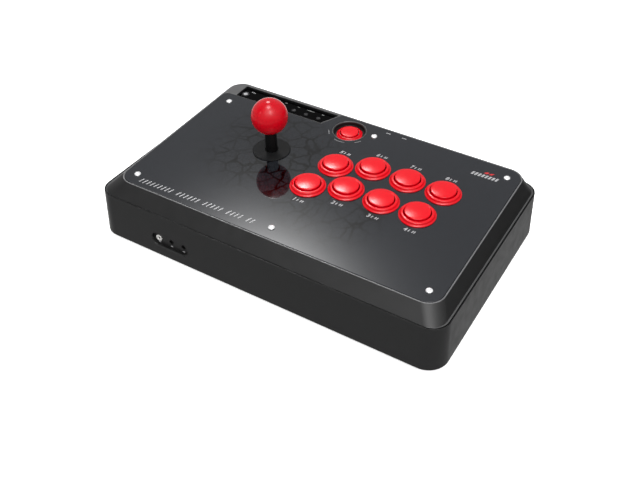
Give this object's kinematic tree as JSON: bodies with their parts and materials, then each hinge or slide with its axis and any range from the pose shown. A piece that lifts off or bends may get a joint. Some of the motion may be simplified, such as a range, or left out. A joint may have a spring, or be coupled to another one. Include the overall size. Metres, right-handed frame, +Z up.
{
  "type": "arcade joystick panel",
  "caption": "Sloped console with a ball-top lever at the left, rows of domed push buttons at the right, a sunken key strip and a socket recess in the front wall.",
  "frame": {"origin": "on the table under the middle of the console", "axes": "+X to the player's right, +Y away from the player, +Z up"},
  "size_m": [0.3584, 0.2256, 0.1171],
  "materials": {
    "case_plastic": "fine moulded grain, charcoal",
    "panel_gloss": "glossy, printed from behind, charcoal",
    "key_strip_gloss": "glossy black",
    "button_red": "glossy red",
    "ball_red": "polished red",
    "black_plastic": "satin black",
    "washer_black": "satin black",
    "key_grey": "satin grey",
    "screw_chrome": "bright plated",
    "steel": "zinc plated",
    "base_paint": "black powder coat",
    "spring_steel": "bright wire",
    "jack_metal": "plated",
    "rubber": "matt black",
    "board_green": "solder mask",
    "brass": "plain",
    "lens_white": "frosted"
  },
  "bodies": {
    "console": {"lower_case": "case_plastic", "base_plate": "base_paint", "base_screws": "steel", "rubber_feet": "rubber", "upper_case": "case_plastic", "top_panel": "panel_gloss", "panel_screws": "screw_chrome", "function_panel": "key_strip_gloss", "status_lights": "lens_white", "function_board": "board_green", "key_switches": "black_plastic", "port_board": "board_green", "main_board": "board_green", "board_standoffs": "brass", "board_screws": "steel", "board_chips": "black_plastic", "cable_bush": "rubber", "button_housing_1": "button_red", "button_housing_2": "button_red", "button_housing_3": "button_red", "button_housing_4": "button_red", "button_housing_5": "button_red", "button_housing_6": "button_red", "button_housing_7": "button_red", "button_housing_8": "button_red", "small_button_housing": "button_red", "button_switches": "black_plastic", "switch_terminals": "brass", "stick_plate": "steel", "stick_screws": "steel", "stick_housing": "black_plastic", "stick_board": "board_green", "stick_switches": "black_plastic", "restrictor_gate": "black_plastic", "headset_jack": "jack_metal", "side_sockets": "black_plastic", "socket_bodies": "black_plastic"},
    "lever_carrier": {"centering_spring": "spring_steel"},
    "lever": {"ball_top": "ball_red", "lever_shaft": "steel", "shaft_cover": "black_plastic", "pivot_ball": "black_plastic", "actuator": "black_plastic", "shaft_clip": "steel"},
    "guide_ring": {"washer_guide": "black_plastic"},
    "washer": {"dust_washer": "washer_black"},
    "plunger_1": {"button_plunger_1": "button_red"},
    "plunger_2": {"button_plunger_2": "button_red"},
    "plunger_3": {"button_plunger_3": "button_red"},
    "plunger_4": {"button_plunger_4": "button_red"},
    "plunger_5": {"button_plunger_5": "button_red"},
    "plunger_6": {"button_plunger_6": "button_red"},
    "plunger_7": {"button_plunger_7": "button_red"},
    "plunger_8": {"button_plunger_8": "button_red"},
    "small_plunger": {"small_button_plunger": "button_red"},
    "home_key_cap": {"home_key": "key_grey"},
    "function_key_1_cap": {"function_key_1": "key_grey"},
    "function_key_2_cap": {"function_key_2": "key_grey"},
    "function_key_3_cap": {"function_key_3": "key_grey"}
  },
  "joints": [
    {"name": "lever_tilt_fore_aft", "type": "hinge", "parent": "console", "child": "lever_carrier", "pos_m": [-0.0627, 0.01524, 0.04316], "axis": [1, 0, 0], "range_deg": [-9, 9], "stiffness_Nm_per_rad": 0.5},
    {"name": "lever_tilt_side", "type": "hinge", "parent": "lever_carrier", "child": "lever", "pos_m": [-0.0627, 0.01524, 0.04316], "axis": [0, 0.9995, 0.0305], "range_deg": [-9, 9], "stiffness_Nm_per_rad": 0.5},
    {"name": "guide_slide", "type": "slide", "parent": "console", "child": "guide_ring", "axis": [0, 0.9995, 0.0305], "range_m": [-0.0032, 0.0032]},
    {"name": "washer_slide", "type": "slide", "parent": "guide_ring", "child": "washer", "axis": [1, 0, 0], "range_m": [-0.0032, 0.0032]},
    {"name": "button_press_1", "type": "slide", "parent": "console", "child": "plunger_1", "axis": [0, 0.0305, -0.9995], "range_m": [0, 0.003], "stiffness_N_per_m": 200, "springref_m": -0.003},
    {"name": "button_press_2", "type": "slide", "parent": "console", "child": "plunger_2", "axis": [0, 0.0305, -0.9995], "range_m": [0, 0.003], "stiffness_N_per_m": 200, "springref_m": -0.003},
    {"name": "button_press_3", "type": "slide", "parent": "console", "child": "plunger_3", "axis": [0, 0.0305, -0.9995], "range_m": [0, 0.003], "stiffness_N_per_m": 200, "springref_m": -0.003},
    {"name": "button_press_4", "type": "slide", "parent": "console", "child": "plunger_4", "axis": [0, 0.0305, -0.9995], "range_m": [0, 0.003], "stiffness_N_per_m": 200, "springref_m": -0.003},
    {"name": "button_press_5", "type": "slide", "parent": "console", "child": "plunger_5", "axis": [0, 0.0305, -0.9995], "range_m": [0, 0.003], "stiffness_N_per_m": 200, "springref_m": -0.003},
    {"name": "button_press_6", "type": "slide", "parent": "console", "child": "plunger_6", "axis": [0, 0.0305, -0.9995], "range_m": [0, 0.003], "stiffness_N_per_m": 200, "springref_m": -0.003},
    {"name": "button_press_7", "type": "slide", "parent": "console", "child": "plunger_7", "axis": [0, 0.0305, -0.9995], "range_m": [0, 0.003], "stiffness_N_per_m": 200, "springref_m": -0.003},
    {"name": "button_press_8", "type": "slide", "parent": "console", "child": "plunger_8", "axis": [0, 0.0305, -0.9995], "range_m": [0, 0.003], "stiffness_N_per_m": 200, "springref_m": -0.003},
    {"name": "small_button_press", "type": "slide", "parent": "console", "child": "small_plunger", "axis": [0, 0.0305, -0.9995], "range_m": [0, 0.0024], "stiffness_N_per_m": 200, "springref_m": -0.003},
    {"name": "home_key_press", "type": "slide", "parent": "console", "child": "home_key_cap", "axis": [0, 0.0305, -0.9995], "range_m": [0, 0.0005], "stiffness_N_per_m": 1500, "springref_m": -0.0005},
    {"name": "key_press_1", "type": "slide", "parent": "console", "child": "function_key_1_cap", "axis": [0, 0.0305, -0.9995], "range_m": [0, 0.0005], "stiffness_N_per_m": 1500, "springref_m": -0.0005},
    {"name": "key_press_2", "type": "slide", "parent": "console", "child": "function_key_2_cap", "axis": [0, 0.0305, -0.9995], "range_m": [0, 0.0005], "stiffness_N_per_m": 1500, "springref_m": -0.0005},
    {"name": "key_press_3", "type": "slide", "parent": "console", "child": "function_key_3_cap", "axis": [0, 0.0305, -0.9995], "range_m": [0, 0.0005], "stiffness_N_per_m": 1500, "springref_m": -0.0005}
  ],
  "couplings": [
    {"joint": "guide_slide", "follows": "lever_tilt_fore_aft", "m_per_rad": -0.01865},
    {"joint": "washer_slide", "follows": "lever_tilt_side", "m_per_rad": 0.01865}
  ]
}
